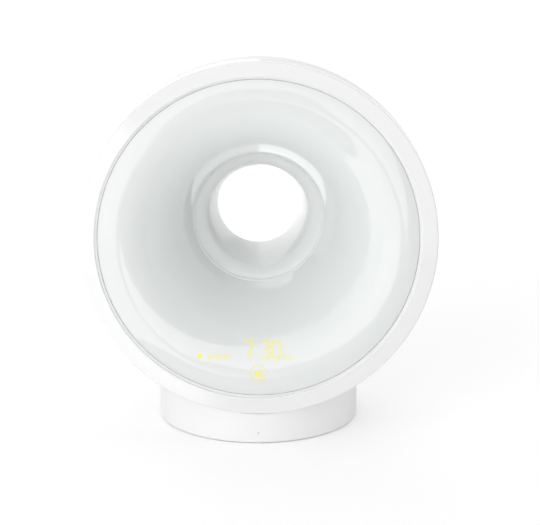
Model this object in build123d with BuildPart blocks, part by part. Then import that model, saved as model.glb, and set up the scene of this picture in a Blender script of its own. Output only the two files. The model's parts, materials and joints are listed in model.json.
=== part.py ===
from build123d import *

from math import atan2, cos, degrees, hypot, radians, sin, tan
import os

# Sunrise alarm clock: a ring-shaped light with a funnel diffuser on a low round base.
#
# Millimetres, +Z up, front towards -Y. The origin is the centre of the base's underside, on the plane of its ring-shaped foot.
# The round body is described in its own (radius, depth) coordinates: radius from the body's axis, depth measured
# backwards from the plane of the front band's face. That axis leans back by `tilt`.

os.makedirs("parts", exist_ok=True)

# ---------------------------------------------------------------- driving dimensions
tilt = 5.0  # the body leans back by this many degrees
body_y = -54.0  # centre of the front band's face
body_z = 129.0

rim_r = 109.5  # outside of the white band
rim_in_r = 99.7  # inside of the white band: outer wall of the groove
rim_round_out = 0.8
rim_fall = 0.2  # the band's face falls back a little towards its outer edge
rim_round_in = 0.3
rim_depth = 8.0
rim_wall_under = 5.2  # underside of the band, above the gasket
ledge_r = 98.15  # ledge at the bottom of the groove, just clear of the diffuser's edge
ledge_s = 2.4
skirt_r_out = 106.3
skirt_r_in = 104.9
skirt_depth = 14.0

diff_edge_r = 98.0  # inner wall of the groove
diff_edge_s = 3.0
crest_r = 87.0  # most forward circle of the diffuser
crest_s = 0.0
lip_r = 40.3
lip_s = 63.0
diff_wall = 2.5
flange_r = 104.6
flange_s0 = 6.0
flange_s1 = 8.5
bead_r = 1.3

tube_front_s = 65.6
mouth_s = 73.0  # end of the tube's rolled mouth, at a fine bead
mouth_r = 32.2
throat_r = 25.2
tube_back_s = 112.0

dome_r = 109.2  # rear shell at its front edge
dome_hole_r = 27.6
dome_s0 = 8.3
dome_s1 = 111.6
dome_n = 2.0  # superellipse exponent of the dome
shell_wall = 2.5

frame_s0 = 63.0  # chassis plate
frame_s1 = 66.0
frame_r_out = 91.0
frame_r_in = 44.0
boss_ring_r = 85.0
boss_r = 3.6
boss_count = 6

board_r_in = 48.0
board_r_out = 79.0

base_r = 61.6
base_wall = 2.4
wall_bottom_z = 0.5  # lower edge of the drum's wall, hiding the foot
wall_round = 0.8
base_bottom_z = 0.8  # underside of the bottom cover
base_straight_z = 20.5
saddle_gap = 0.5
foot_depth = 0.8
foot_r0, foot_r1 = 56.4, 58.7  # ring-shaped foot round the bottom cover's edge
screw_seat_z = 2.0
plate_top_z = 3.6
plate_gap = 0.3

button_s = 84.0  # depth of the buttons' centre on the dome
button_x = 13.0  # each side of the middle
button_len = 15.0
button_wid = 9.0
button_travel = 0.8
button_gap = 0.4

speaker_y = -28.0
speaker_r = 22.0

# ---------------------------------------------------------------- the body's own axes
ct, st = cos(radians(tilt)), sin(radians(tilt))
body_origin = Vector(0, body_y, body_z)
back_dir = Vector(0, ct, -st)  # along the body's axis, backwards
up_dir = Vector(0, st, ct)  # upwards, square to the axis
body_axis = Axis((0, body_y, body_z), (0, ct, -st))
# profiles are drawn here: local x is the radius, local y the depth
profile = Plane(origin=body_origin, x_dir=(1, 0, 0), z_dir=(0, st, ct))


def body_plane(depth):
    """Plane square to the body's axis at a depth; local y points up, local z backwards."""
    return Plane(origin=body_origin + back_dir * depth, x_dir=(-1, 0, 0), z_dir=back_dir)


def dome_point(t_deg, out=0.0):
    """Point (radius, depth) of the dome's section, moved outwards by `out`."""
    c, s = max(cos(radians(t_deg)), 0.0), max(sin(radians(t_deg)), 0.0)
    a, b = dome_r - dome_hole_r, dome_s1 - dome_s0
    r, d = dome_hole_r + a * c ** (2 / dome_n), dome_s0 + b * s ** (2 / dome_n)
    nr, nd = c ** (2 - 2 / dome_n) / a, s ** (2 - 2 / dome_n) / b
    k = hypot(nr, nd)
    return (r + out * nr / k, d + out * nd / k)


def dome_line(out=0.0, count=26):
    # parameter spacing is denser near both ends, where the section turns fastest
    ts = [90.0 * (i / count) for i in range(count + 1)]
    return [dome_point(t, out) for t in ts]


def dome_at_depth(depth):
    lo, hi = 0.0, 90.0
    for _ in range(60):
        mid = (lo + hi) / 2
        if dome_point(mid)[1] < depth:
            lo = mid
        else:
            hi = mid
    return lo


def bezier_point(p, t):
    u = 1 - t
    x = u**3 * p[0][0] + 3 * u * u * t * p[1][0] + 3 * u * t * t * p[2][0] + t**3 * p[3][0]
    y = u**3 * p[0][1] + 3 * u * u * t * p[1][1] + 3 * u * t * t * p[2][1] + t**3 * p[3][1]
    dx = 3 * (u * u * (p[1][0] - p[0][0]) + 2 * u * t * (p[2][0] - p[1][0]) + t * t * (p[3][0] - p[2][0]))
    dy = 3 * (u * u * (p[1][1] - p[0][1]) + 2 * u * t * (p[2][1] - p[1][1]) + t * t * (p[3][1] - p[2][1]))
    return x, y, dx, dy


def bezier_offset(p, dist, count=14, t0=0.0, t1=1.0):
    """Points at `dist` to the right of the curve's direction."""
    out = []
    for i in range(count + 1):
        x, y, dx, dy = bezier_point(p, t0 + (t1 - t0) * i / count)
        k = hypot(dx, dy)
        out.append((x + dist * dy / k, y - dist * dx / k))
    return out


# diffuser's visible section: roll-off at the groove, crest, then the funnel down to the lip
roll = [(97.6, 2.2), (95.2, 1.32), (92.2, crest_s), (crest_r, crest_s)]
funnel = [(crest_r, crest_s), (66.0, crest_s), (48.5, 34.0), (lip_r, lip_s)]


def funnel_t_at_radius(radius):
    lo, hi = 0.0, 1.0
    for _ in range(60):
        mid = (lo + hi) / 2
        if bezier_point(funnel, mid)[0] > radius:
            lo = mid
        else:
            hi = mid
    return lo


# ---------------------------------------------------------------- front band
with BuildPart() as rim_ring:
    with BuildSketch(profile):
        with BuildLine():
            RadiusArc((rim_in_r, rim_round_in), (rim_in_r + rim_round_in, 0), rim_round_in)
            Line((rim_in_r + rim_round_in, 0), (rim_r - rim_round_out, rim_fall))
            RadiusArc((rim_r - rim_round_out, rim_fall), (rim_r, rim_fall + rim_round_out), rim_round_out)
            Polyline(
                (rim_r, rim_fall + rim_round_out),
                (rim_r, rim_depth),
                (skirt_r_out, rim_depth),
                (skirt_r_out, skirt_depth),
                (skirt_r_in, skirt_depth),
                (skirt_r_in, rim_wall_under),
                (ledge_r, rim_wall_under),
                (ledge_r, ledge_s),
                (rim_in_r, ledge_s),
                (rim_in_r, rim_round_in),
            )
        make_face()
    revolve(axis=body_axis)
rim_ring.part.label = "rim_ring"

with BuildPart() as diffuser_gasket:
    with BuildSketch(body_plane(rim_wall_under)):
        Circle(flange_r)
        Circle(rim_in_r + 0.6, mode=Mode.SUBTRACT)
    extrude(amount=flange_s0 - rim_wall_under)
diffuser_gasket.part.label = "diffuser_gasket"

# ---------------------------------------------------------------- diffuser
roll_in = bezier_offset(roll, diff_wall, 8, 0.15)
funnel_in = bezier_offset(funnel, diff_wall, 18)
with BuildPart() as front_diffuser:
    with BuildSketch(profile):
        with BuildLine():
            Bezier((diff_edge_r, diff_edge_s), (diff_edge_r, 2.5), (97.9, 2.31), roll[0])
            Bezier(*roll)
            Bezier(*funnel)
            Line(funnel[3], funnel_in[-1])
            Spline(*(roll_in + funnel_in[1:])[::-1])
            Polyline(
                roll_in[0],
                (roll_in[0][0], flange_s1),
                (flange_r, flange_s1),
                (flange_r, flange_s0),
                (diff_edge_r, flange_s0),
                (diff_edge_r, diff_edge_s),
            )
        make_face()
        # rolled lip at the bottom of the funnel
        with Locations((lip_r + 0.3, lip_s + 1.2)):
            Circle(bead_r)
    revolve(axis=body_axis)
front_diffuser.part.label = "front_diffuser"

# touch foil glued behind the lower part of the diffuser
film_a = bezier_offset(funnel, (diff_wall + 0.06), 12, funnel_t_at_radius(86.0), funnel_t_at_radius(62.0))
film_b = bezier_offset(funnel, (diff_wall + 0.36), 12, funnel_t_at_radius(86.0), funnel_t_at_radius(62.0))
film_half = 34.0
film_plane = Plane(origin=body_origin, x_dir=(sin(radians(film_half)), -st * cos(radians(film_half)), -ct * cos(radians(film_half))), z_dir=back_dir)
film_profile = Plane(origin=body_origin, x_dir=film_plane.x_dir, z_dir=film_plane.x_dir.cross(back_dir))
with BuildPart() as touch_film:
    with BuildSketch(film_profile):
        with BuildLine():
            Spline(*film_a)
            Line(film_a[-1], film_b[-1])
            Spline(*film_b[::-1])
            Line(film_b[0], film_a[0])
        make_face()
    revolve(axis=body_axis, revolution_arc=2 * film_half)
touch_film.part.label = "touch_film"

# ---------------------------------------------------------------- tube through the middle
mouth = [(39.9, tube_front_s), (37.4, 67.2), (33.9, 69.2), (mouth_r, mouth_s)]
throat = [(mouth_r + 0.05, mouth_s + 0.3), (29.6, 80.0), (27.0, 92.0), (throat_r + 0.35, 110.5)]
with BuildPart() as centre_tube:
    with BuildSketch(profile):
        with BuildLine():
            Bezier(*mouth)
            Line(mouth[3], throat[0])
            Bezier(*throat)
            Bezier((throat_r + 0.35, 110.5), (throat_r + 0.15, 111.4), (throat_r + 0.5, tube_back_s), (throat_r + 1.2, tube_back_s))
            Polyline(
                (throat_r + 1.2, tube_back_s),
                (throat_r + 2.0, tube_back_s - 0.6),
                (throat_r + 2.0, 108.6),
                (29.3, 93.0),
                (31.9, 82.0),
                (34.8, 75.4),
                (36.2, 71.4),
                (39.0, 68.0),
                (50.0, 68.0),
                (50.0, frame_s1),
                (41.6, frame_s1),
                (41.6, tube_front_s),
                (39.9, tube_front_s),
            )
        make_face()
        with Locations((mouth_r + 0.22, mouth_s + 0.1)):
            Circle(0.42)
    revolve(axis=body_axis)
centre_tube.part.label = "centre_tube"

# ---------------------------------------------------------------- rear shell
# opening at the bottom for the neck
neck_x, neck_y0, neck_y1 = 22.0, -8.0, 20.0
button_t = dome_at_depth(button_s)
button_pr, button_ps = dome_point(button_t)
button_or, button_os = dome_point(button_t, 1.0)
n_r, n_s = button_or - button_pr, button_os - button_ps
button_out = up_dir * n_r + back_dir * n_s
button_plane = Plane(origin=body_origin + up_dir * button_pr + back_dir * button_ps, x_dir=(1, 0, 0), z_dir=button_out)
print("buttons look up by", round(degrees(atan2(button_out.Z, button_out.Y)), 1), "degrees")

outer_line = dome_line()
inner_line = dome_line(-shell_wall)
with BuildPart() as rear_shell:
    with BuildSketch(body_plane(frame_s1)):
        with PolarLocations(boss_ring_r, boss_count):
            Circle(boss_r)
    extrude(amount=40)
    with BuildSketch(profile):
        with BuildLine():
            Spline(*outer_line, tangents=[(0, 1), (-1, 0)])
            Polyline(outer_line[-1], (0, outer_line[-1][1]), (0, outer_line[0][1]), outer_line[0])
        make_face()
    revolve(axis=body_axis, mode=Mode.INTERSECT)
    with BuildSketch(profile):
        with BuildLine():
            Spline(*outer_line, tangents=[(0, 1), (-1, 0)])
            Line(outer_line[-1], inner_line[-1])
            Spline(*inner_line[::-1], tangents=[(1, 0), (0, -1)])
            Line(inner_line[0], outer_line[0])
        make_face()
    revolve(axis=body_axis)
    # pilot holes for the chassis screws
    with BuildSketch(body_plane(frame_s1)):
        with PolarLocations(boss_ring_r, boss_count):
            Circle(1.4)
    extrude(amount=10, mode=Mode.SUBTRACT)
    # button windows
    with BuildSketch(button_plane.offset(4)):
        with Locations((-button_x, 0), (button_x, 0)):
            SlotOverall(button_len + 2 * button_gap, button_wid + 2 * button_gap)
    extrude(amount=-14, mode=Mode.SUBTRACT)
    # neck opening
    with BuildSketch(Plane.XY.offset(10)):
        with Locations((0, (neck_y0 + neck_y1) / 2)):
            Rectangle(2 * neck_x, neck_y1 - neck_y0)
    extrude(amount=40, mode=Mode.SUBTRACT)
rear_shell.part.label = "rear_shell"

# ---------------------------------------------------------------- chassis, light board
with BuildPart() as mid_frame:
    with BuildSketch(body_plane(frame_s0)):
        Circle(frame_r_out)
        Circle(frame_r_in, mode=Mode.SUBTRACT)
        with PolarLocations(boss_ring_r, boss_count):
            Circle(1.7, mode=Mode.SUBTRACT)
        with Locations((-12, -70), (12, -70), (-12, -86), (12, -86)):
            Circle(1.3, mode=Mode.SUBTRACT)
    extrude(amount=frame_s1 - frame_s0)
    # stiffening rib round the inside, behind the plate
    with BuildSketch(body_plane(frame_s1)):
        Circle(56)
        Circle(54.2, mode=Mode.SUBTRACT)
        with Locations((0, -56)):
            Rectangle(44, 14, mode=Mode.SUBTRACT)
    extrude(amount=5)
mid_frame.part.label = "mid_frame"

with BuildPart() as heat_spreader:
    with BuildSketch(body_plane(frame_s0 - 2)):
        Circle(board_r_out)
        Circle(board_r_in, mode=Mode.SUBTRACT)
        with Locations((-12, -70), (12, -70), (-12, -86), (12, -86)):
            Circle(2.0, mode=Mode.SUBTRACT)
    extrude(amount=2)
heat_spreader.part.label = "heat_spreader"

with BuildPart() as led_board:
    with BuildSketch(body_plane(frame_s0 - 3.6)):
        Circle(board_r_out)
        Circle(board_r_in, mode=Mode.SUBTRACT)
    extrude(amount=1.6)
led_board.part.label = "led_board"

with BuildPart() as led_chips:
    with BuildSketch(body_plane(frame_s0 - 4.4)):
        with PolarLocations(73, 24):
            Rectangle(3.5, 2.8)
        with PolarLocations(60, 18):
            Rectangle(3.5, 2.8)
    extrude(amount=0.8)
led_chips.part.label = "led_chips"

with BuildPart() as light_reflector:
    with BuildSketch(profile):
        with BuildLine():
            Polyline(
                (99.5, flange_s1),
                (flange_r, flange_s1),
                (flange_r, flange_s1 + 1.4),
                (102.2, flange_s1 + 1.4),
                (frame_r_out - 0.1, frame_s0),
                (frame_r_out - 1.3, frame_s0),
                (99.5, flange_s1 + 3.0),
                close=True,
            )
        make_face()
    revolve(axis=body_axis)
light_reflector.part.label = "light_reflector"

with BuildPart() as frame_screws:
    with BuildSketch(body_plane(frame_s0)):
        with PolarLocations(boss_ring_r, boss_count):
            Circle(2.8)
    extrude(amount=-2.0)
    with BuildSketch(body_plane(frame_s0)):
        with PolarLocations(boss_ring_r, boss_count):
            Circle(1.35)
    extrude(amount=11)
    with BuildSketch(body_plane(frame_s0 - 2.0)):
        with PolarLocations(boss_ring_r, boss_count):
            RegularPolygon(1.4, 6)
    extrude(amount=1.2, mode=Mode.SUBTRACT)
frame_screws.part.label = "frame_screws"

# ---------------------------------------------------------------- display module behind the diffuser
# It stands on the chord between two radii of the funnel, square to the vertical middle plane.
ra, rb = 62.0, 91.0
pa = bezier_point(funnel, funnel_t_at_radius(ra))
sb = min(bezier_point(roll, i / 200)[1] for i in range(201) if bezier_point(roll, i / 200)[0] >= rb)
slope = atan2(pa[1] - sb, rb - ra)
disp_n = back_dir * cos(slope) - up_dir * sin(slope)
mid_r, mid_s = (ra + rb) / 2, (pa[1] + sb) / 2
disp_clear = diff_wall + 1.0
disp_origin = body_origin - up_dir * mid_r + back_dir * mid_s + disp_n * disp_clear
disp_plane = Plane(origin=disp_origin, x_dir=(-1, 0, 0), z_dir=disp_n)
print("display plane slope", round(degrees(slope), 1), "chord", round((rb - ra) / cos(slope), 1))
mask_h = 6.0
row_y = 4.2  # digits' centre line on the module
digit_w, digit_h, seg = 5.6, 12.6, 1.3
digit_centres = [12.6, 5.8, -4.6, -11.6]  # local x runs against world X


def segment_boxes(cx):
    """Seven bars of one digit: (x, y, width, height)."""
    hx, hy = digit_w / 2 - seg / 2, digit_h / 2 - seg / 2
    bars = [(cx, row_y + v, digit_w - 2 * seg - 0.5, seg) for v in (hy, 0, -hy)]
    bars += [(cx + u, row_y + v, seg, digit_h / 2 - 1.5 * seg - 0.35) for u in (-hx, hx) for v in (hy / 2, -hy / 2)]
    return bars


windows = [b for c in digit_centres for b in segment_boxes(c)]
windows += [(0.4, row_y + 2.4, 1.3, 1.3), (0.4, row_y - 2.4, 1.3, 1.3)]
dots = [(36.0, row_y - 4.2, 2.1), (0.0, -7.6, 5.0)]
bars_small = [(24.5, row_y - 4.2, 13.0, 2.6), (-19.0, row_y - 4.2, 6.0, 2.6)]


with BuildPart() as display_mask:
    with BuildSketch(disp_plane):
        with Locations((0, row_y)):
            Rectangle(82, 17.0)
        with Locations((0, -8.4)):
            Rectangle(24, 13.0)
        for x, y, w, h in windows + bars_small:
            with Locations((x, y)):
                Rectangle(w, h, mode=Mode.SUBTRACT)
        for x, y, r in dots:
            with Locations((x, y)):
                Circle(r, mode=Mode.SUBTRACT)
    extrude(amount=mask_h)
display_mask.part.label = "display_mask"

with BuildPart() as display_segments:
    with BuildSketch(disp_plane.offset(0.3)):
        for x, y, w, h in windows + bars_small:
            with Locations((x, y)):
                Rectangle(w - 0.1, h - 0.1)
        for x, y, r in dots:
            with Locations((x, y)):
                Circle(r - 0.05)
    extrude(amount=4.2)
display_segments.part.label = "display_segments"

with BuildPart() as display_leds:
    with BuildSketch(disp_plane.offset(mask_h)):
        for x, y, w, h in windows + bars_small:
            with Locations((x, y)):
                Rectangle(min(w, 1.1) - 0.2, min(h, 1.1) - 0.2)
        for x, y, r in dots:
            with Locations((x, y)):
                Rectangle(1.6, 0.8)
    extrude(amount=-0.7)
display_leds.part.label = "display_leds"

with BuildPart() as display_board:
    with BuildSketch(disp_plane.offset(mask_h)):
        with Locations((0, row_y)):
            Rectangle(82, 17.0)
        with Locations((0, -8.4)):
            Rectangle(24, 13.0)
    extrude(amount=1.6)
    # the module's connector, on the board's back
    with BuildSketch(disp_plane.offset(mask_h + 1.6)):
        with Locations((22, row_y)):
            Rectangle(14, 5)
    extrude(amount=3.2)
display_board.part.label = "display_board"

# ---------------------------------------------------------------- buttons on the upper back
cap_dome = dome_line(1.0)
flange_dome = dome_line(-(shell_wall + 0.5))


button_nodes = {}
for name, bx in (("lamp_button", -button_x), ("sunset_button", button_x)):
    with BuildPart() as flange:
        with BuildSketch(button_plane.offset(-8.6)):
            with Locations((bx, 0)):
                SlotOverall(button_len + 3.0, button_wid + 3.0)
        extrude(amount=9)
        with BuildSketch(profile):
            with BuildLine():
                Spline(*flange_dome)
                Polyline(flange_dome[-1], (0, flange_dome[-1][1]), (0, flange_dome[0][1]), flange_dome[0])
            make_face()
        revolve(axis=body_axis, mode=Mode.INTERSECT)
    with BuildPart() as button:
        with BuildSketch(button_plane.offset(-8.0)):
            with Locations((bx, 0)):
                SlotOverall(button_len, button_wid)
        extrude(amount=12)
        with BuildSketch(profile):
            with BuildLine():
                Spline(*cap_dome)
                Polyline(cap_dome[-1], (0, cap_dome[-1][1]), (0, cap_dome[0][1]), cap_dome[0])
            make_face()
        revolve(axis=body_axis, mode=Mode.INTERSECT)
        top_edges = button.faces().sort_by(Axis(button_plane.origin, button_out))[-1].edges()
        fillet(top_edges, 0.6)
        add(flange.part)
        with BuildSketch(button_plane.offset(-8.6)):
            with Locations((bx, 0)):
                Circle(1.6)
        extrude(amount=-1.4)
    button.part.label = name
    button_nodes[name] = button

plungers = {}
for name, bx in (("lamp_switch_plunger", -button_x), ("sunset_switch_plunger", button_x)):
    with BuildPart() as plunger:
        with BuildSketch(button_plane.offset(-10.0)):
            with Locations((bx, 0)):
                Circle(1.75)
        extrude(amount=-2.2)
    plunger.part.label = name
    plungers[name] = plunger

switch_top = -11.0
with BuildPart() as tact_switches:
    with BuildSketch(button_plane.offset(switch_top)):
        with Locations((-button_x, 0), (button_x, 0)):
            RectangleRounded(6.2, 6.2, 0.5)
    extrude(amount=-3.6)
    with BuildSketch(button_plane.offset(switch_top)):
        with Locations((-button_x, 0), (button_x, 0)):
            Circle(2.1)
    extrude(amount=-2.3, mode=Mode.SUBTRACT)
tact_switches.part.label = "tact_switches"

with BuildPart() as button_board:
    with BuildSketch(button_plane.offset(switch_top - 3.6)):
        RectangleRounded(46, 14, 1.5)
    extrude(amount=-1.6)
button_board.part.label = "button_board"

# bracket that carries the button board from the chassis plate
board_mid = body_origin + up_dir * button_pr + back_dir * button_ps + button_out * (switch_top - 5.2)
rel = board_mid - body_origin
board_up, board_back = rel.dot(up_dir), rel.dot(back_dir)
print("button board centre: radius", round(board_up, 1), "depth", round(board_back, 1))
with BuildPart() as button_bracket:
    with BuildSketch(button_plane.offset(switch_top - 5.2)):
        with Locations((-17, 0), (17, 0)):
            Rectangle(8, 12)
    extrude(amount=-2.0)
    with BuildSketch(body_plane(frame_s1)):
        with Locations((-17, board_up - 3.0), (17, board_up - 3.0)):
            Rectangle(8, 3.0)
    extrude(amount=board_back - frame_s1 + 0.5)
button_bracket.part.label = "button_bracket"

# ---------------------------------------------------------------- base
base_shoulder = [(base_r, base_straight_z), (base_r, 28.6), (50.0, 30.2), (30.0, 42.5)]
base_shoulder_in = bezier_offset(base_shoulder, -base_wall, 10)


head_cut_line = dome_line(saddle_gap)
with BuildPart() as head_cut:  # room for the body, with the shadow gap all round
    with BuildSketch(profile):
        with BuildLine():
            Spline(*head_cut_line, tangents=[(0, 1), (-1, 0)])
            Polyline(
                head_cut_line[-1],
                (0, head_cut_line[-1][1]),
                (0, -8),
                (rim_r + saddle_gap, -8),
                (rim_r + saddle_gap, head_cut_line[0][1]),
                head_cut_line[0],
            )
        make_face()
    revolve(axis=body_axis)

floor_line = dome_line(saddle_gap + base_wall)
with BuildPart() as base_cavity:  # hollow of the base, below the saddle's floor
    with BuildSketch(Plane.XZ):
        with BuildLine():
            Spline(*base_shoulder_in)
            Polyline(
                base_shoulder_in[-1],
                (0, 58),
                (0, base_bottom_z - 1),
                (base_r - base_wall, base_bottom_z - 1),
                base_shoulder_in[0],
            )
        make_face()
    revolve(axis=Axis.Z)
    with BuildSketch(profile):
        with BuildLine():
            Spline(*floor_line, tangents=[(0, 1), (-1, 0)])
            Polyline(
                floor_line[-1],
                (0, floor_line[-1][1]),
                (0, -8),
                (rim_r + saddle_gap + base_wall, -8),
                (rim_r + saddle_gap + base_wall, floor_line[0][1]),
                floor_line[0],
            )
        make_face()
    revolve(axis=body_axis, mode=Mode.SUBTRACT)

base_screw_r = 52.0
dc_x, usb_x, aux_x = -22.0, 0.0, 20.0
board_z = 8.0
board_t = 1.6
jack_z0 = board_z + board_t
pinhole_z = 6.8
with BuildPart() as base_shell:
    with BuildSketch(Plane.XZ):
        with BuildLine():
            Polyline((0, 58), (0, wall_bottom_z), (base_r - wall_round, wall_bottom_z))
            RadiusArc((base_r - wall_round, wall_bottom_z), (base_r, wall_bottom_z + wall_round), -wall_round)
            Line((base_r, wall_bottom_z + wall_round), (base_r, base_straight_z))
            Bezier(*base_shoulder)
            Line(base_shoulder[3], (0, 58))
        make_face()
    revolve(axis=Axis.Z)
    add(base_cavity.part, mode=Mode.SUBTRACT)
    # posts for the bottom cover's screws
    with BuildSketch(Plane.XY.offset(plate_top_z)):
        with PolarLocations(base_screw_r, 4, 45):
            Circle(3.6)
    extrude(amount=24)
    add(head_cut.part, mode=Mode.SUBTRACT)
    with BuildSketch(Plane.XY.offset(plate_top_z)):
        with PolarLocations(base_screw_r, 4, 45):
            Circle(1.4)
    extrude(amount=10, mode=Mode.SUBTRACT)
    # neck opening in the saddle's floor
    with BuildSketch(Plane.XY.offset(12)):
        with Locations((0, (neck_y0 + neck_y1) / 2)):
            Rectangle(2 * neck_x, neck_y1 - neck_y0)
    extrude(amount=50, mode=Mode.SUBTRACT)
    # windows for the sockets, in the back wall
    with BuildSketch(Plane.XZ.offset(-70)):
        with Locations((dc_x, jack_z0 + 5.5)):
            RectangleRounded(9.6, 11.6, 0.6)
        with Locations((usb_x, jack_z0 + 3.5)):
            RectangleRounded(15.0, 7.6, 0.6)
        with Locations((aux_x, jack_z0 + 4.0)):
            Circle(4.1)
    extrude(amount=24, mode=Mode.SUBTRACT)
    # pinhole of the light sensor, in the front wall
    with BuildSketch(Plane.XZ.offset(50)):
        with Locations((0, pinhole_z)):
            Circle(0.55)
    extrude(amount=20, mode=Mode.SUBTRACT)
base_shell.part.label = "base_shell"

slot_half = [14.5, 16.5, 17.3, 17.3, 16.5, 14.5]
with BuildPart() as base_plate:
    with BuildSketch(Plane.XY.offset(base_bottom_z)):
        Circle(base_r - base_wall - plate_gap)
        for i, h in enumerate(slot_half):
            with Locations((0, speaker_y + (i - 2.5) * 4.4)):
                SlotOverall(h * 1.7, 2.0, mode=Mode.SUBTRACT)
    extrude(amount=plate_top_z - base_bottom_z)
    # posts for the main board and for the neck's foot
    with BuildSketch(Plane.XY.offset(plate_top_z)):
        with Locations((-33, 28), (33, 28), (-31, 44), (31, 44)):
            Circle(3.0)
        with Locations((-12, 12), (12, 12)):
            Circle(4.0)
    extrude(amount=board_z - plate_top_z)
    with BuildSketch(Plane.XY.offset(board_z)):
        with Locations((-33, 28), (33, 28), (-31, 44), (31, 44)):
            Circle(1.2)
        with Locations((-12, 12), (12, 12)):
            Circle(1.4)
    extrude(amount=-4.0, mode=Mode.SUBTRACT)
    # holes and head recesses for the cover's screws
    with BuildSketch(Plane.XY.offset(base_bottom_z)):
        with PolarLocations(base_screw_r, 4, 45):
            Circle(1.75)
    extrude(amount=plate_top_z - base_bottom_z, mode=Mode.SUBTRACT)
    with BuildSketch(Plane.XY.offset(base_bottom_z)):
        with PolarLocations(base_screw_r, 4, 45):
            Circle(3.1)
    extrude(amount=screw_seat_z - base_bottom_z, mode=Mode.SUBTRACT)
    # rebate for the ring-shaped foot
    with BuildSketch(Plane.XY.offset(base_bottom_z)):
        Circle(base_r)
        Circle(foot_r0 - 0.1, mode=Mode.SUBTRACT)
    extrude(amount=foot_depth, mode=Mode.SUBTRACT)
base_plate.part.label = "base_plate"

with BuildPart() as rubber_foot:
    with BuildSketch(Plane.XY):
        Circle(foot_r1)
        Circle(foot_r0, mode=Mode.SUBTRACT)
    extrude(amount=base_bottom_z + foot_depth)
rubber_foot.part.label = "rubber_foot"

with BuildPart() as base_screws:
    with BuildSketch(Plane.XY.offset(screw_seat_z)):
        with PolarLocations(base_screw_r, 4, 45):
            Circle(2.8)
    extrude(amount=-1.0)
    with BuildSketch(Plane.XY.offset(screw_seat_z)):
        with PolarLocations(base_screw_r, 4, 45):
            Circle(1.35)
    extrude(amount=9.6)
    with BuildSketch(Plane.XY.offset(screw_seat_z - 1.0)):
        with PolarLocations(base_screw_r, 4, 45):
            Rectangle(3.4, 0.7)
            Rectangle(0.7, 3.4)
    extrude(amount=0.6, mode=Mode.SUBTRACT)
base_screws.part.label = "base_screws"

# ---------------------------------------------------------------- neck between base and body
with BuildPart() as neck_bracket:
    with BuildSketch(body_plane(frame_s1)):
        with Locations((0, -88.5)):
            Rectangle(36, 53)
        with Locations((-12, -70), (12, -70), (-12, -86), (12, -86)):
            Circle(1.7, mode=Mode.SUBTRACT)
    extrude(amount=3)
    with BuildSketch(Plane.XY.offset(board_z)):
        with Locations((0, 10.5)):
            Rectangle(36, 17)
    extrude(amount=3)
    with BuildSketch(Plane.XY.offset(board_z)):
        with Locations((-12, 12), (12, 12)):
            Circle(1.7)
    extrude(amount=3, mode=Mode.SUBTRACT)
    # nothing below the foot's underside
    with BuildSketch(Plane.XY.offset(board_z)):
        with Locations((0, 0)):
            Rectangle(80, 80)
    extrude(amount=-20, mode=Mode.SUBTRACT)
neck_bracket.part.label = "neck_bracket"

with BuildPart() as neck_screws:
    with BuildSketch(body_plane(frame_s1 + 3)):
        with Locations((-12, -70), (12, -70), (-12, -86), (12, -86)):
            Circle(2.8)
    extrude(amount=2.0)
    with BuildSketch(body_plane(frame_s1 + 3)):
        with Locations((-12, -70), (12, -70), (-12, -86), (12, -86)):
            Circle(1.25)
    extrude(amount=-5.8)
    with BuildSketch(Plane.XY.offset(board_z + 3)):
        with Locations((-12, 12), (12, 12)):
            Circle(2.8)
    extrude(amount=2.0)
    with BuildSketch(Plane.XY.offset(board_z + 3)):
        with Locations((-12, 12), (12, 12)):
            Circle(1.35)
    extrude(amount=-6.6)
neck_screws.part.label = "neck_screws"

# ---------------------------------------------------------------- main board and what stands on it
with BuildPart() as main_board:
    with BuildSketch(Plane.XY.offset(board_z)):
        with Locations((0, 37.5)):
            Rectangle(78, 32)
        Circle(56.5, mode=Mode.INTERSECT)
        with PolarLocations(base_screw_r, 4, 45):
            Circle(4.4, mode=Mode.SUBTRACT)
        with Locations((-33, 28), (33, 28), (-31, 44), (31, 44)):
            Circle(1.5, mode=Mode.SUBTRACT)
    extrude(amount=board_t)
main_board.part.label = "main_board"

with BuildPart() as board_screws:
    with BuildSketch(Plane.XY.offset(jack_z0)):
        with Locations((-33, 28), (33, 28), (-31, 44), (31, 44)):
            Circle(2.3)
    extrude(amount=1.6)
    with BuildSketch(Plane.XY.offset(jack_z0)):
        with Locations((-33, 28), (33, 28), (-31, 44), (31, 44)):
            Circle(1.15)
    extrude(amount=-5.4)
board_screws.part.label = "board_screws"

with BuildPart() as board_chips:
    with BuildSketch(Plane.XY.offset(jack_z0)):
        with Locations((-9, 31)):
            Rectangle(10, 10)
        with Locations((-24, 33)):
            Rectangle(7, 6)
        with Locations((4, 38)):
            Rectangle(5, 5)
        with Locations((-8, 41)):
            Rectangle(4, 3)
    extrude(amount=1.2)
board_chips.part.label = "board_chips"

with BuildPart() as capacitors:
    with BuildSketch(Plane.XY.offset(jack_z0)):
        with Locations((-21, 25.2), (-12, 49), (11, 46)):
            Circle(3.1)
    extrude(amount=8.5)
capacitors.part.label = "capacitors"

with BuildPart() as cell_holder:
    with BuildSketch(Plane.XY.offset(jack_z0)):
        with Locations((19, 32)):
            Circle(9.2)
    extrude(amount=3.2)
    with BuildSketch(Plane.XY.offset(jack_z0 + 1.0)):
        with Locations((19, 32)):
            Circle(8.1)
    extrude(amount=3.2, mode=Mode.SUBTRACT)
cell_holder.part.label = "cell_holder"

with BuildPart() as backup_cell:
    with BuildSketch(Plane.XY.offset(jack_z0 + 1.0)):
        with Locations((19, 32)):
            Circle(8.0)
    extrude(amount=2.4)
    with BuildSketch(Plane.XY.offset(jack_z0 + 3.4)):
        with Locations((19, 32)):
            Circle(6.9)
    extrude(amount=0.3)
backup_cell.part.label = "backup_cell"

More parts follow.
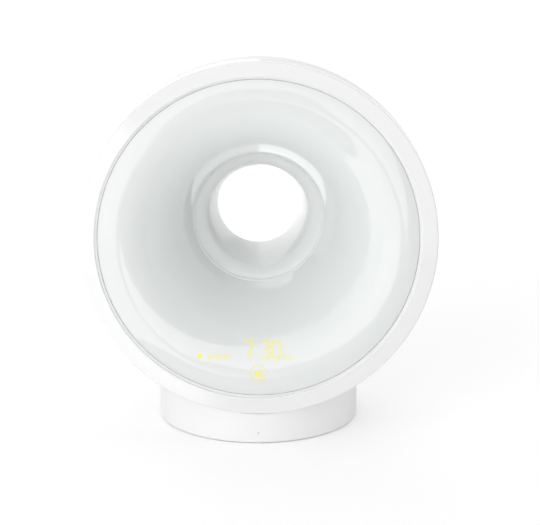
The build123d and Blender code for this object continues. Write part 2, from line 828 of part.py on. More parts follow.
# sockets: each stands on the board and looks out of the back wall
dc_face = 57.0
with BuildPart() as dc_jack:
    with BuildSketch(Plane.XZ.offset(-dc_face)):
        with Locations((dc_x, jack_z0 + 5.5)):
            RectangleRounded(9.0, 11.0, 0.5)
    extrude(amount=13.5)
    with BuildSketch(Plane.XZ.offset(-dc_face)):
        with Locations((dc_x, jack_z0 + 6.0)):
            Circle(2.9)
    extrude(amount=10.5, mode=Mode.SUBTRACT)
dc_jack.part.label = "dc_jack"

with BuildPart() as dc_pin:
    with BuildSketch(Plane.XZ.offset(-dc_face + 10.5)):
        with Locations((dc_x, jack_z0 + 6.0)):
            Circle(1.0)
    extrude(amount=-9.3)
    fillet(dc_pin.edges().sort_by(Axis.Y)[-1], 0.45)
dc_pin.part.label = "dc_pin"

usb_face = 61.0
with BuildPart() as usb_port:
    with BuildSketch(Plane.XZ.offset(-usb_face)):
        with Locations((usb_x, jack_z0 + 3.5)):
            RectangleRounded(14.2, 7.0, 0.7)
            RectangleRounded(12.6, 5.3, 0.4, mode=Mode.SUBTRACT)
    extrude(amount=13.0)
    with BuildSketch(Plane.XZ.offset(-usb_face + 13.0)):
        with Locations((usb_x, jack_z0 + 3.5)):
            RectangleRounded(14.2, 7.0, 0.7)
    extrude(amount=0.8)
usb_port.part.label = "usb_port"

with BuildPart() as usb_tongue:
    with BuildSketch(Plane.XZ.offset(-usb_face + 13.0)):
        with Locations((usb_x, jack_z0 + 4.6)):
            Rectangle(11.0, 1.9)
    extrude(amount=-11.6)
usb_tongue.part.label = "usb_tongue"

aux_face = 58.0
aux_r = 1.8
aux_len = 12.0
with BuildPart() as aux_jack:
    with BuildSketch(Plane.XZ.offset(-aux_face + 4.6)):
        with Locations((aux_x, jack_z0 + 4.0)):
            RectangleRounded(8.0, 8.0, 0.5)
    extrude(amount=9.4)
    with BuildSketch(Plane.XZ.offset(-aux_face)):
        with Locations((aux_x, jack_z0 + 4.0)):
            Circle(3.8)
    extrude(amount=4.6)
    with BuildSketch(Plane.XZ.offset(-aux_face)):
        with Locations((aux_x, jack_z0 + 4.0)):
            Circle(aux_r)
    extrude(amount=aux_len, mode=Mode.SUBTRACT)
aux_jack.part.label = "aux_jack"

# ---------------------------------------------------------------- wires from the base to the body
harness_r = 1.8
plug_z = jack_z0 + 5.0
wire_x = 4.0
plug_end = body_origin + back_dir * (frame_s1 + 5.2) - up_dir * 58.0  # lower face of the chassis plate's connector
plug_run = plug_end - up_dir * 8.0
wire_points = [
    (wire_x, 24.6, plug_z),
    (wire_x, 24.6, plug_z + 6.0),
    (wire_x, 14.8, plug_z + 16.0),
    (wire_x, 13.6, plug_z + 32.0),
    (wire_x, plug_run.Y, plug_run.Z),
    (wire_x, plug_end.Y, plug_end.Z),
]
with BuildPart() as wire_connectors:
    with BuildSketch(Plane.XY.offset(jack_z0)):
        with Locations((wire_x, 24.6)):
            Rectangle(9, 5)
    extrude(amount=plug_z - jack_z0)
    with BuildSketch(body_plane(frame_s1)):
        with Locations((-wire_x, -55.0)):
            Rectangle(9, 6.0)
    extrude(amount=7.6)
wire_connectors.part.label = "wire_connectors"

radii = []
vecs = [Vector(*p) for p in wire_points]
for i in range(1, len(vecs) - 1):
    u, v = vecs[i] - vecs[i - 1], vecs[i + 1] - vecs[i]
    turn = u.get_angle(v)
    radii.append(0.45 * min(u.length, v.length) / tan(radians(turn / 2)))
print("harness radii", [round(r, 1) for r in radii])
with BuildPart() as wire_harness:
    with BuildLine() as wire_path:
        FilletPolyline(*wire_points, radius=radii)
    with BuildSketch(Plane(origin=wire_points[0], z_dir=(0, 0, 1))):
        Circle(harness_r)
    sweep()
harness_len = sum(e.length for e in wire_path.edges())
print("harness", round(harness_len, 1), "mm, volume ratio", round(wire_harness.part.volume / (3.14159265 * harness_r**2 * harness_len), 4))
wire_harness.part.label = "wire_harness"

# ---------------------------------------------------------------- loudspeaker, firing down through the slots
sp = (0.0, speaker_y)
with BuildPart() as speaker_gasket:
    with BuildSketch(Plane.XY.offset(plate_top_z)):
        with Locations(sp):
            Circle(speaker_r)
            Circle(19.6, mode=Mode.SUBTRACT)
    extrude(amount=0.8)
speaker_gasket.part.label = "speaker_gasket"

basket_z0 = plate_top_z + 0.8
with BuildPart() as speaker_frame:
    with BuildSketch(Plane.XZ):
        with BuildLine():
            Polyline(
                (19.4, basket_z0),
                (speaker_r, basket_z0),
                (speaker_r, basket_z0 + 1.1),
                (20.6, basket_z0 + 1.1),
                (20.6, 7.6),
                (14.8, 10.4),
                (14.8, 11.2),
                (6.5, 11.2),
                (6.5, 10.5),
                (13.6, 10.5),
                (13.6, 10.0),
                (19.4, 7.3),
                close=True,
            )
        make_face()
    revolve(axis=Axis.Z)
    # air windows through the basket's side
    with BuildSketch(Plane.XY.offset(6.2)):
        with PolarLocations(17.2, 4, 45):
            Rectangle(9, 12)
    extrude(amount=3.4, mode=Mode.SUBTRACT)
speaker_frame = speaker_frame.part.moved(Location((sp[0], sp[1], 0)))
speaker_frame.label = "speaker_frame"

with BuildPart() as speaker_magnet:
    with BuildSketch(Plane.XY.offset(11.2)):
        with Locations(sp):
            Circle(11.5)
    extrude(amount=4.2)
    with BuildSketch(Plane.XY.offset(11.2)):
        with Locations(sp):
            Circle(6.5)
            Circle(4.6, mode=Mode.SUBTRACT)
    extrude(amount=3.4, mode=Mode.SUBTRACT)
speaker_magnet.part.label = "speaker_magnet"

cone_z = 5.6  # cone's mouth
cap_r = 5.15


def cap_mid(z0, z1, r=2.8):
    """Height at radius r of the spherical dust cap that starts at z0 on the axis and ends at z1 at cap_r."""
    ball = (cap_r**2 + (z1 - z0) ** 2) / (2 * (z1 - z0))
    return z0 + ball - (ball**2 - r**2) ** 0.5


with BuildPart() as speaker_cone:
    with BuildSketch(Plane.XZ):
        with BuildLine():
            ThreePointArc((0, 7.2), (2.8, cap_mid(7.2, 8.55)), (cap_r, 8.55))
            Polyline((cap_r, 8.55), (5.7, 8.5), (16.4, cone_z), (16.4, cone_z + 0.5), (6.0, 9.2), (cap_r, 9.2))
            ThreePointArc((cap_r, 9.2), (2.8, cap_mid(7.7, 9.2)), (0, 7.7))
            Line((0, 7.7), (0, 7.2))
        make_face()
    revolve(axis=Axis.Z)
speaker_cone = speaker_cone.part.moved(Location((sp[0], sp[1], 0)))
speaker_cone.label = "speaker_cone"

with BuildPart() as voice_coil:
    with BuildSketch(Plane.XY.offset(9.2)):
        with Locations(sp):
            Circle(5.9)
            Circle(5.2, mode=Mode.SUBTRACT)
    extrude(amount=4.2)
voice_coil.part.label = "voice_coil"

with BuildPart() as speaker_surround:
    with BuildSketch(Plane.XZ):
        with BuildLine():
            Polyline((16.45, cone_z), (16.45, cone_z + 0.45))
            ThreePointArc((16.45, cone_z + 0.45), (17.85, cone_z + 1.15), (19.2, cone_z - 0.1))
            Line((19.2, cone_z - 0.1), (18.8, cone_z - 0.5))
            ThreePointArc((18.8, cone_z - 0.5), (17.75, cone_z + 0.7), (16.45, cone_z))
        make_face()
    revolve(axis=Axis.Z)
speaker_surround = speaker_surround.part.moved(Location((sp[0], sp[1], 0)))
speaker_surround.label = "speaker_surround"

with BuildPart() as speaker_spider:
    with BuildSketch(Plane.XY.offset(9.7)):
        with Locations(sp):
            Circle(13.5)
            Circle(6.0, mode=Mode.SUBTRACT)
    extrude(amount=0.5)
speaker_spider.part.label = "speaker_spider"

# ---------------------------------------------------------------- light sensor behind the pinhole
with BuildPart() as sensor_light_pipe:
    with BuildSketch(Plane.XZ.offset(61.3)):
        with Locations((0, pinhole_z)):
            Circle(0.48)
    extrude(amount=-4.2)
    with BuildSketch(Plane.XZ.offset(58.6)):
        with Locations((0, pinhole_z)):
            Circle(1.6)
    extrude(amount=-1.5)
sensor_light_pipe.part.label = "sensor_light_pipe"

with BuildPart() as sensor_board:
    with BuildSketch(Plane.XZ.offset(56.3)):
        with Locations((0, pinhole_z + 1.4)):
            Rectangle(14, 8.8)
    extrude(amount=-1.0)
    with BuildSketch(Plane.XZ.offset(56.3)):
        with Locations((0, pinhole_z)):
            Rectangle(2.6, 2.0)
    extrude(amount=0.7)
sensor_board.part.label = "sensor_board"

# ---------------------------------------------------------------- one file for each piece
for piece in (
    rim_ring.part,
    diffuser_gasket.part,
    front_diffuser.part,
    touch_film.part,
    centre_tube.part,
    rear_shell.part,
    mid_frame.part,
    heat_spreader.part,
    led_board.part,
    led_chips.part,
    light_reflector.part,
    frame_screws.part,
    display_mask.part,
    display_segments.part,
    display_leds.part,
    display_board.part,
    button_nodes["lamp_button"].part,
    button_nodes["sunset_button"].part,
    plungers["lamp_switch_plunger"].part,
    plungers["sunset_switch_plunger"].part,
    tact_switches.part,
    button_board.part,
    button_bracket.part,
    base_shell.part,
    base_plate.part,
    rubber_foot.part,
    base_screws.part,
    neck_bracket.part,
    neck_screws.part,
    main_board.part,
    board_screws.part,
    board_chips.part,
    capacitors.part,
    cell_holder.part,
    backup_cell.part,
    dc_jack.part,
    dc_pin.part,
    usb_port.part,
    usb_tongue.part,
    aux_jack.part,
    wire_connectors.part,
    wire_harness.part,
    speaker_gasket.part,
    speaker_frame,
    speaker_magnet.part,
    speaker_cone,
    voice_coil.part,
    speaker_surround,
    speaker_spider.part,
    sensor_light_pipe.part,
    sensor_board.part,
):
    export_step(piece, "parts/" + piece.label + ".step")
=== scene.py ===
import json
import math

import bmesh
import bpy
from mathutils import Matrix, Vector
from mathutils.bvhtree import BVHTree


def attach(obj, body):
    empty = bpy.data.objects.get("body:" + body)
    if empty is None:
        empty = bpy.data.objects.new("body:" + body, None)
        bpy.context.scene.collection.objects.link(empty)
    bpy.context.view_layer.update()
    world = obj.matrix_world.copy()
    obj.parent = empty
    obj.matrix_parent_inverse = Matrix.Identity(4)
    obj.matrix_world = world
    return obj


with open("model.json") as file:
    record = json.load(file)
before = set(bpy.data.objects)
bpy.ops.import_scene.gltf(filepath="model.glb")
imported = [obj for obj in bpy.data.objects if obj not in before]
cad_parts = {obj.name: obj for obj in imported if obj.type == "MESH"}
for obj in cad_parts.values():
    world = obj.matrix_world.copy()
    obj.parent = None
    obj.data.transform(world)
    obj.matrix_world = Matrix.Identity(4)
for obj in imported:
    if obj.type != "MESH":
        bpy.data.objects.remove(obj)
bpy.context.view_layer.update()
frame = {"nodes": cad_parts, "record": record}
NODES = frame["nodes"]
scene = bpy.context.scene
MM = 0.001

# ------------------------------------------------------------------ camera
cam_data = bpy.data.cameras.new("camera")
cam_data.sensor_fit = "HORIZONTAL"
cam_data.sensor_width = 36.0
cam_data.lens = 281.5
cam_data.shift_x = 0.0215
cam_data.clip_start = 0.05
cam_data.clip_end = 60.0
cam = bpy.data.objects.new("camera", cam_data)
cam.location = (0.0, -2.500, 0.884)
cam.rotation_euler = (math.radians(90.0 - 17.47), 0.0, 0.0)
scene.collection.objects.link(cam)
scene.camera = cam
scene.view_settings.view_transform = "Standard"
scene.view_settings.look = "None"
scene.view_settings.exposure = 0.0
scene.view_settings.gamma = 1.0

# ------------------------------------------------------------------ the round body's own axes
TILT = math.radians(5.0)
ORIGIN = Vector((0.0, -54.0, 129.0)) * MM
BACK = Vector((0.0, math.cos(TILT), -math.sin(TILT)))
UP = Vector((0.0, math.sin(TILT), math.cos(TILT)))
SIDE = Vector((1.0, 0.0, 0.0))


def body_point(r, s, a):
    """Point at radius r and depth s (millimetres), at angle a from +X towards up."""
    return ORIGIN + (SIDE * math.cos(a) + UP * math.sin(a)) * (r * MM) + BACK * (s * MM)


# ------------------------------------------------------------------ materials
def link(nt, a, b):
    nt.links.new(a, b)


def plastic(
    name, base, rough, tint=0.0, tint_scale=30.0, rough_var=0.04, rough_scale=300.0,
    grain=0.0, grain_scale=2600.0, grain_depth=2e-5, metallic=0.0, ior=1.5, coat=0.0, sss=0.0, tint_to=None, spec=None,
):
    """Moulded or metal finish: slow colour variation, roughness variation and a fine surface grain, all procedural."""
    m = bpy.data.materials.new(name)
    m.use_nodes = True
    nt = m.node_tree
    b = nt.nodes["Principled BSDF"]
    b.inputs["Metallic"].default_value = metallic
    b.inputs["IOR"].default_value = ior
    if spec is not None:
        b.inputs["Specular IOR Level"].default_value = spec
    if coat:
        b.inputs["Coat Weight"].default_value = coat
        b.inputs["Coat Roughness"].default_value = 0.03
    if sss:
        b.inputs["Subsurface Weight"].default_value = sss
        b.inputs["Subsurface Radius"].default_value = (0.9, 1.0, 0.95)
        b.inputs["Subsurface Scale"].default_value = 0.004
    tc = nt.nodes.new("ShaderNodeTexCoord")
    n1 = nt.nodes.new("ShaderNodeTexNoise")
    n1.inputs["Scale"].default_value = tint_scale
    n1.inputs["Detail"].default_value = 3.0
    link(nt, tc.outputs["Object"], n1.inputs["Vector"])
    mix = nt.nodes.new("ShaderNodeMix")
    mix.data_type = "RGBA"
    other = tint_to or tuple(c * (1 - tint) for c in base)
    mix.inputs[6].default_value = (*base, 1)
    mix.inputs[7].default_value = (*other, 1)
    link(nt, n1.outputs["Fac"], mix.inputs[0])
    link(nt, mix.outputs[2], b.inputs["Base Color"])
    n2 = nt.nodes.new("ShaderNodeTexNoise")
    n2.inputs["Scale"].default_value = rough_scale
    n2.inputs["Detail"].default_value = 2.0
    link(nt, tc.outputs["Object"], n2.inputs["Vector"])
    mr = nt.nodes.new("ShaderNodeMapRange")
    mr.inputs["From Min"].default_value = 0.3
    mr.inputs["From Max"].default_value = 0.7
    mr.inputs["To Min"].default_value = max(rough - rough_var, 0.0)
    mr.inputs["To Max"].default_value = min(rough + rough_var, 1.0)
    link(nt, n2.outputs["Fac"], mr.inputs["Value"])
    link(nt, mr.outputs["Result"], b.inputs["Roughness"])
    if grain:
        n3 = nt.nodes.new("ShaderNodeTexNoise")
        n3.inputs["Scale"].default_value = grain_scale
        n3.inputs["Detail"].default_value = 2.0
        link(nt, tc.outputs["Object"], n3.inputs["Vector"])
        bump = nt.nodes.new("ShaderNodeBump")
        bump.inputs["Strength"].default_value = grain
        bump.inputs["Distance"].default_value = grain_depth
        link(nt, n3.outputs["Fac"], bump.inputs["Height"])
        link(nt, bump.outputs["Normal"], b.inputs["Normal"])
    return m


def lit(name, colour, strength):
    """Light-guide material with a slightly uneven glow."""
    m = bpy.data.materials.new(name)
    m.use_nodes = True
    nt = m.node_tree
    b = nt.nodes["Principled BSDF"]
    b.inputs["Roughness"].default_value = 0.25
    tc = nt.nodes.new("ShaderNodeTexCoord")
    n1 = nt.nodes.new("ShaderNodeTexNoise")
    n1.inputs["Scale"].default_value = 260.0
    link(nt, tc.outputs["Object"], n1.inputs["Vector"])
    mix = nt.nodes.new("ShaderNodeMix")
    mix.data_type = "RGBA"
    mix.inputs[6].default_value = (*colour, 1)
    mix.inputs[7].default_value = (*(c * 0.93 for c in colour), 1)
    link(nt, n1.outputs["Fac"], mix.inputs[0])
    link(nt, mix.outputs[2], b.inputs["Base Color"])
    link(nt, mix.outputs[2], b.inputs["Emission Color"])
    b.inputs["Emission Strength"].default_value = strength
    return m


MATS = {
    "white_matt": plastic("white_matt", (0.868, 0.868, 0.868), 0.46, 0.012, 18.0, 0.04, 420.0, 0.35, 2300.0, 3e-5),
    "white_button": plastic("white_button", (0.89, 0.89, 0.89), 0.42, 0.015, 60.0, 0.04, 500.0, 0.3, 2600.0, 3e-5),
    "opal_diffuser": plastic("opal_diffuser", (0.779, 0.803, 0.791), 0.035, 0.0, 14.0, 0.01, 90.0, 0.0, ior=1.585, tint_to=(0.769, 0.792, 0.781)),
    "white_gloss": plastic("white_gloss", (0.796, 0.812, 0.803), 0.08, 0.01, 25.0, 0.02, 120.0),
    "white_inner": plastic("white_inner", (0.86, 0.86, 0.85), 0.5, 0.03, 40.0, 0.05, 300.0, 0.3, 1800.0, 4e-5),
    "grey_foam": plastic("grey_foam", (0.42, 0.43, 0.44), 0.85, 0.2, 900.0, 0.08, 900.0, 0.8, 1400.0, 2e-4),
    "clear_film": plastic("clear_film", (0.55, 0.58, 0.60), 0.15, 0.05, 90.0, 0.04, 300.0),
    "aluminium": plastic("aluminium", (0.72, 0.73, 0.75), 0.32, 0.06, 300.0, 0.08, 900.0, 0.3, 1500.0, 3e-5, metallic=1.0),
    "white_board": plastic("white_board", (0.82, 0.84, 0.82), 0.35, 0.03, 120.0, 0.05, 600.0, 0.3, 1600.0, 3e-5),
    "green_board": plastic("green_board", (0.03, 0.20, 0.10), 0.34, 0.25, 240.0, 0.06, 700.0, 0.4, 1200.0, 4e-5),
    "led": plastic("led", (0.92, 0.86, 0.50), 0.25, 0.05, 500.0, 0.05, 900.0),
    "black_plastic": plastic("black_plastic", (0.022, 0.022, 0.024), 0.40, 0.25, 90.0, 0.06, 500.0, 0.4, 2400.0, 3e-5),
    "display_glow": lit("display_glow", (1.0, 0.78, 0.20), 0.6),
    "steel": plastic("steel", (0.60, 0.61, 0.63), 0.33, 0.08, 200.0, 0.08, 900.0, 0.3, 1800.0, 2e-5, metallic=1.0),
    "dark_screws": plastic("dark_screws", (0.06, 0.06, 0.065), 0.38, 0.2, 300.0, 0.06, 900.0, 0.3, 2200.0, 2e-5, metallic=0.6),
    "capacitor": plastic("capacitor", (0.06, 0.08, 0.16), 0.35, 0.15, 200.0, 0.05, 600.0),
    "plated": plastic("plated", (0.75, 0.75, 0.77), 0.22, 0.06, 400.0, 0.06, 900.0, 0.2, 1500.0, 2e-5, metallic=1.0),
    "tongue": plastic("tongue", (0.84, 0.84, 0.84), 0.4, 0.04, 200.0, 0.05, 600.0),
    "wire": plastic("wire", (0.03, 0.03, 0.03), 0.55, 0.25, 300.0, 0.08, 900.0, 0.5, 1600.0, 1e-4),
    "rubber": plastic("rubber", (0.035, 0.035, 0.037), 0.72, 0.3, 200.0, 0.08, 900.0, 0.5, 1600.0, 6e-5),
    "magnet": plastic("magnet", (0.09, 0.09, 0.095), 0.5, 0.2, 300.0, 0.08, 900.0, 0.4, 1400.0, 5e-5),
    "cone": plastic("cone", (0.05, 0.05, 0.05), 0.8, 0.3, 700.0, 0.08, 900.0, 0.6, 1200.0, 1e-4),
    "copper": plastic("copper", (0.70, 0.36, 0.20), 0.35, 0.1, 900.0, 0.06, 900.0, 0.4, 1200.0, 5e-5, metallic=1.0),
    "spider": plastic("spider", (0.62, 0.42, 0.14), 0.85, 0.2, 900.0, 0.06, 900.0, 0.6, 1500.0, 1e-4),
}

# The front band is moulded with a smoother face than the rest of the white case.
SMOOTHER = {"rim_ring": plastic("white_satin", (0.852, 0.852, 0.852), 0.06, 0.008, 18.0, 0.02, 420.0, 0.06, 2300.0, 1e-5, ior=1.55, spec=0.85)}

for sub in frame["record"]["subparts"]:
    o = NODES[sub["node"]]
    m = SMOOTHER.get(sub["node"]) or MATS[sub["material_slot"]]
    if not o.material_slots:
        o.data.materials.append(m)
    for s in o.material_slots:
        s.material = m

# ------------------------------------------------------------------ the display's lit marks
# Each mark is a thin closed plate that follows the diffuser's face. Its outline is given in the body's own plane:
# x to the right and u up from the body's axis, in millimetres.
face = NODES["front_diffuser"].data
face_tree = BVHTree.FromPolygons([v.co.copy() for v in face.vertices], [tuple(f.vertices) for f in face.polygons])
PROUD, SUNK = 0.07, 0.30


def on_face(x, u):
    """Point and outward normal of the diffuser's face at (x, u)."""
    start = ORIGIN + SIDE * (x * MM) + UP * (u * MM) - BACK * (20 * MM)
    hit, normal, _, _ = face_tree.ray_cast(start, BACK)
    if normal.dot(BACK) > 0:
        normal = -normal
    return hit, normal


def lay(bm, x, u):
    hit, normal = on_face(x, u)
    return bm.verts.new(hit + normal * (PROUD * MM)), bm.verts.new(hit - normal * (SUNK * MM))


def refine(pts, step, closed):
    out = []
    ends = list(zip(pts, pts[1:] + pts[:1])) if closed else list(zip(pts, pts[1:]))
    for (x0, u0), (x1, u1) in ends:
        n = max(1, math.ceil(math.hypot(x1 - x0, u1 - u0) / step))
        out += [(x0 + (x1 - x0) * i / n, u0 + (u1 - u0) * i / n) for i in range(n)]
    return out if closed else out + [pts[-1]]


def stroke(bm, pts, width, closed=False, across=2):
    """Closed plate along a centre line."""
    pts = refine(pts, 0.45, closed)
    n = len(pts)
    rows = []
    for i, (x, u) in enumerate(pts):
        a = pts[(i - 1) % n] if closed or i else pts[0]
        b = pts[(i + 1) % n] if closed or i < n - 1 else pts[-1]
        dx, du = b[0] - a[0], b[1] - a[1]
        d = math.hypot(dx, du)
        nx, nu = -du / d, dx / d
        rows.append([lay(bm, x + nx * width * (j / across - 0.5), u + nu * width * (j / across - 0.5)) for j in range(across + 1)])
    loop = range(n if closed else n - 1)
    for i in loop:
        r0, r1 = rows[i], rows[(i + 1) % n]
        for j in range(across):
            bm.faces.new((r0[j][0], r1[j][0], r1[j + 1][0], r0[j + 1][0]))
            bm.faces.new((r0[j][1], r0[j + 1][1], r1[j + 1][1], r1[j][1]))
        bm.faces.new((r0[0][0], r0[0][1], r1[0][1], r1[0][0]))
        bm.faces.new((r0[-1][0], r1[-1][0], r1[-1][1], r0[-1][1]))
    if not closed:
        for r in (rows[0], rows[-1]):
            for j in range(across):
                bm.faces.new((r[j][0], r[j + 1][0], r[j + 1][1], r[j][1]))


def disc(bm, x, u, radius, n=28):
    """Closed round plate."""
    mid = lay(bm, x, u)
    rings = [
        [lay(bm, x + q * math.cos(2 * math.pi * k / n), u + q * math.sin(2 * math.pi * k / n)) for k in range(n)]
        for q in (radius * 0.5, radius)
    ]
    for k in range(n):
        m = (k + 1) % n
        bm.faces.new((mid[0], rings[0][k][0], rings[0][m][0]))
        bm.faces.new((mid[1], rings[0][m][1], rings[0][k][1]))
        bm.faces.new((rings[0][k][0], rings[1][k][0], rings[1][m][0], rings[0][m][0]))
        bm.faces.new((rings[0][k][1], rings[0][m][1], rings[1][m][1], rings[1][k][1]))
        bm.faces.new((rings[1][k][0], rings[1][k][1], rings[1][m][1], rings[1][m][0]))


def arc(x, u, rx, ru, a0, a1, n=8):
    return [
        (x + rx * math.cos(math.radians(a0 + (a1 - a0) * k / n)), u + ru * math.sin(math.radians(a0 + (a1 - a0) * k / n)))
        for k in range(n + 1)
    ]


def marks(name, material, draw):
    bm = bmesh.new()
    draw(bm)
    bmesh.ops.recalc_face_normals(bm, faces=bm.faces)
    me = bpy.data.meshes.new(name)
    bm.to_mesh(me)
    bm.free()
    for f in me.polygons:
        f.use_smooth = False
    o = bpy.data.objects.new(name, me)
    scene.collection.objects.link(o)
    me.materials.append(material)
    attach(o, "root")
    return o


W = 1.62  # stroke of the digits


def draw_digits(bm):
    # 7
    stroke(bm, [(-8.55, -66.1), (-4.1, -66.1), (-3.55, -66.5), (-3.55, -67.2), (-6.15, -75.4)], W)
    # 3: the upper and lower bowls as one line, and the middle bar
    stroke(
        bm,
        [(1.8, -66.05)] + arc(5.0, -67.85, 1.75, 1.8, 90, -20) + [(6.3, -69.2), (5.6, -70.15), (6.3, -71.1)]
        + arc(5.0, -73.1, 1.75, 1.85, 20, -90) + [(1.8, -74.95)],
        W,
    )
    stroke(bm, [(3.4, -70.15), (5.3, -70.15)], W)
    # 0
    stroke(
        bm,
        arc(11.0, -68.3, 2.55, 2.5, 90, 0) + arc(11.0, -72.7, 2.55, 2.5, 0, -90)
        + arc(11.8 - 0.8, -72.7, 2.55, 2.5, -90, -180) + arc(11.0, -68.3, 2.55, 2.5, 180, 90)[:-1],
        W, closed=True,
    )


def draw_colon(bm):
    disc(bm, -0.35, -69.1, 0.55)
    disc(bm, -0.35, -71.9, 0.55)


def draw_dot(bm):
    disc(bm, -35.7, -73.0, 1.6)


def draw_bars(bm):
    for k in range(9):
        x = -30.6 + k * 1.60
        stroke(bm, [(x, -72.3), (x, -75.0)], 1.10)


def draw_side_bars(bm):
    for k in range(4):
        x = 16.1 + k * 1.55
        stroke(bm, [(x, -72.8), (x, -75.1)], 1.0)


def draw_ring(bm):
    stroke(bm, arc(-0.3, -83.9, 4.55, 4.75, 90, 450, 40)[:-1], 0.85, closed=True)


def draw_sun(bm):
    disc(bm, -0.3, -84.1, 1.75)
    for k in range(8):
        a = math.radians(45 * k)
        stroke(bm, [(-0.3 + q * math.cos(a), -84.1 + q * math.sin(a)) for q in (2.0, 2.75)], 0.70)


MARK_DIGITS = lit("mark_digits", (0.62, 0.585, 0.29), 0.42)
MARK_DIM = lit("mark_dim", (0.66, 0.62, 0.34), 0.32)
MARK_BRIGHT = lit("mark_bright", (0.66, 0.60, 0.14), 0.45)
marks("display_digits", MARK_DIGITS, draw_digits)
marks("display_colon", MARK_DIM, draw_colon)
marks("display_alarm_dot", MARK_BRIGHT, draw_dot)
marks("display_status_bars", MARK_DIM, draw_bars)
marks("display_side_bars", MARK_DIM, draw_side_bars)
marks("display_sun_ring", MARK_DIM, draw_ring)
marks("display_sun", MARK_BRIGHT, draw_sun)

# ------------------------------------------------------------------ floor and light
mesh = bpy.data.meshes.new("floor")
mesh.from_pydata([(-9, -9, 0), (9, -9, 0), (9, 9, 0), (-9, 9, 0)], [], [(0, 1, 2, 3)])
floor = bpy.data.objects.new("floor", mesh)
scene.collection.objects.link(floor)
floor_white = plastic("floor_white", (0.93, 0.93, 0.93), 0.8, 0.004, 2.0, 0.02, 20.0)
floor_white.node_tree.nodes["Principled BSDF"].inputs["Emission Color"].default_value = (1.0, 1.0, 1.0, 1.0)
floor_white.node_tree.nodes["Principled BSDF"].inputs["Emission Strength"].default_value = 0.10  # lit from below, as a light table
floor.data.materials.append(floor_white)
floor.visible_glossy = False

world = bpy.data.worlds.new("studio")
scene.world = world
world.use_nodes = True
world.node_tree.nodes["Background"].inputs["Color"].default_value = (1.0, 1.0, 1.0, 1)
world.node_tree.nodes["Background"].inputs["Strength"].default_value = 0.9

# The studio is a dome of light panels round the clock. Azimuth 0 is the front (-Y), positive to the right (+X).
# The sky panels give the soft light. The card panels are what polished surfaces mirror: a broad bright bank at the
# left and overhead with a dim notch straight ahead, and a dark side at the right. They reach below the horizon, as
# the reflection of a glossy table does, so the floor itself stays out of the mirrored light.


def glow(name, me, strength, mirror):
    o = bpy.data.objects.new(name, me)
    scene.collection.objects.link(o)
    m = bpy.data.materials.new(name)
    m.use_nodes = True
    nt = m.node_tree
    nt.nodes.clear()
    em = nt.nodes.new("ShaderNodeEmission")
    em.inputs["Strength"].default_value = strength
    out = nt.nodes.new("ShaderNodeOutputMaterial")
    link(nt, em.outputs[0], out.inputs["Surface"])
    me.materials.append(m)
    o.visible_camera = False
    o.visible_shadow = False
    if mirror:
        o.visible_diffuse = False
    else:
        o.visible_glossy = False
    return o


def panel(name, rows, strength, mirror=False, radius=2.9, step=4.0):
    """Curved panel; each row is (elevation, left azimuth, right azimuth)."""
    fine = []
    for (e0, a0, b0), (e1, a1, b1) in zip(rows, rows[1:]):
        m = max(1, round(abs(e1 - e0) / step))
        for j in range(m):
            t = j / m
            fine.append((e0 + (e1 - e0) * t, a0 + (a1 - a0) * t, b0 + (b1 - b0) * t))
    fine.append(rows[-1])
    n = max(2, round(max(r[2] - r[1] for r in rows) / step))
    bm = bmesh.new()
    grid = []
    for el, a0, a1 in fine:
        e = math.radians(el)
        line = []
        for i in range(n + 1):
            a = math.radians(a0 + (a1 - a0) * i / n)
            line.append(bm.verts.new((
                radius * math.cos(e) * math.sin(a), -radius * math.cos(e) * math.cos(a), 0.129 + radius * math.sin(e),
            )))
        grid.append(line)
    for low, high in zip(grid, grid[1:]):
        for i in range(n):
            bm.faces.new((low[i], low[i + 1], high[i + 1], high[i]))
    me = bpy.data.meshes.new(name)
    bm.to_mesh(me)
    bm.free()
    return glow(name, me, strength, mirror)


def band(els, a0, a1):
    return [(e, a0, a1) for e in els]


# Soft light: name of the azimuth band, its ends, and the levels low, middle, high and top.
SKY = (
    ("rear_left", -180, -112, (1.20, 1.15, 0.88, 1.00)),
    ("far_left", -112, -60, (0.50, 0.45, 0.66, 0.78)),
    ("left", -60, -8, (2.40, 1.64, 1.38, 0.90)),
    ("front", -8, 15, (1.00, 1.12, 1.28, 0.97)),
    ("right", 15, 80, (0.26, 0.46, 0.77, 0.82)),
    ("side", 80, 112, (1.15, 1.08, 1.28, 1.08)),
    ("rear_right", 112, 180, (0.88, 0.88, 0.88, 1.00)),
)
for name, a0, a1, levels in SKY:
    for part, els, level in zip(("low", "middle", "high", "top"), ((0, 10), (10, 35), (35, 55), (55, 75)), levels):
        panel(f"sky_{part}_{name}", band(els, a0, a1), level)
panel("sky_cap", band((75, 89.9), -180, 180), 1.12)

# Right and left edges of the bright bank, by elevation.
right = {-7.5: 15, -6.4: 18, -3: 24, 0: 28, 5: 32.5, 12: 37, 20: 40.5, 30: 44, 47: 47, 68: 41, 75: 32, 80: 12}
left = {-58: -100, -50: -118, -40: -118, -28: -117, -15: -113, 2: -111, 23: -107, 50: -102, 75: -98, 80: -90}
low = {-50: -63, -34: -35, -26: -20, -19: -10, -13: -2, -9.5: 0.6, -7.5: 0}  # lower edge, over the dark table


def at(table, el):
    keys = sorted(table)
    if el <= keys[0]:
        return table[keys[0]]
    for k0, k1 in zip(keys, keys[1:]):
        if el <= k1:
            return table[k0] + (table[k1] - table[k0]) * (el - k0) / (k1 - k0)
    return table[keys[-1]]


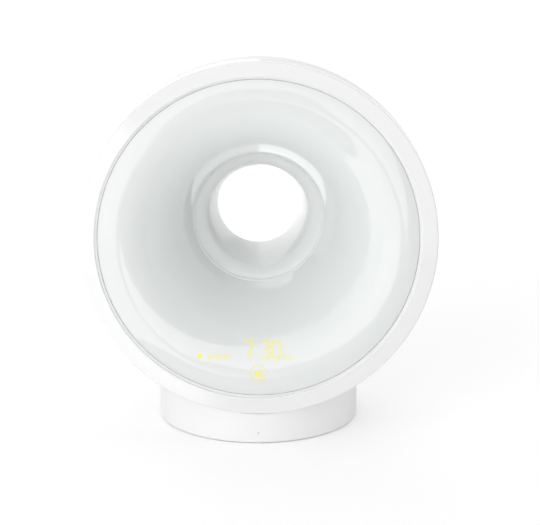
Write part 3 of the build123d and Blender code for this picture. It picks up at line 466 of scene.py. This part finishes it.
CARDS = {
    "card_table_left": ([(e, at(left, e), at(low, e)) for e in (-50, -34, -26, -19, -13, -9.5, -7.5)], 1.9),
    "card_far_left": ([(e, at(left, e), -55) for e in (-7.5, 2, 23, 50, 75)], 1.7),
    "card_left": ([(-7.5, -55, 0), (1, -55, -9), (12, -55, -12), (19, -55, -9), (20, -55, -4)], 2.2),
    "card_wedge": ([(-7.5, 14, 15), (-6.4, 12, 18), (-4.8, 9, 20.8), (-3, 6.5, 24), (0, 5, 28), (5, 7, 32.5), (12, 8.5, 37), (19, 8.5, 40), (20, 6, 40.5)], 2.2),
    "card_over": ([(e, -55, at(right, e)) for e in (20, 30, 47, 68, 75)], 2.2),
    "card_notch": ([(-7.5, 0, 14), (-6.4, -1, 12), (-4.8, -2.7, 9), (-3, -4.7, 6.5), (0, -7.9, 5), (1, -9, 5.4), (5, -10, 7), (12, -12, 8.5), (19, -9, 8.5), (20, -4, 6)], 0.9),
    "card_high": ([(75, -98, 32), (80, -90, 12), (82, -80, -35)], 1.9),
    "card_cap": ([(75, 32, 262), (80, 12, 270), (82, -35, 280), (89.9, -35, 280)], 1.0),
    "card_table_front": ([(-50, -63, 10), (-34, -35, 10), (-26, -20, 10), (-19, -10, 10), (-13, -2, 6), (-9.5, 0.6, 4), (-7.5, 0, 3)], 0.4),
    "card_table_right": ([(-50, 10, 120), (-19, 10, 120), (-13, 6, 120), (-7.5, 3, 120)], 0.5),
    "card_right": ([(e, at(right, e), 120) for e in (-7.5, -6.4, -3, 0, 5, 12, 20, 30, 47, 68, 75)], 0.5),
    "card_back_low_right": ([(e, 148, 180) for e in (-50, 8)], 0.95),
    "card_back_low_left": ([(e, 180, 212) for e in (-50, 8)], 1.5),
    "card_back_high_right": ([(e, 148, 168) for e in (8, 75)], 0.6),
    "card_back_high_middle": ([(e, 168, 180) for e in (8, 75)], 0.9),
    "card_back_high_centre": ([(e, 180, 190) for e in (8, 75)], 1.4),
    "card_back_high_left": ([(e, 190, 212) for e in (8, 75)], 1.4),
    "card_back_right": ([(e, 120, 148) for e in (-50, 75)], 0.3),
    "card_back_left_low": ([(e, 212, 360 + at(left, e)) for e in (-50, -40, -28, -15, 2, 8)], 0.8),
    "card_back_left_high": ([(e, 212, 360 + at(left, e)) for e in (8, 23, 50, 75)], 0.5),
    "card_nadir": (band((-89.9, -50), -180, 180), 0.8),
}
for name, (rows, strength) in CARDS.items():
    panel(name, rows, strength, True, 6.0)
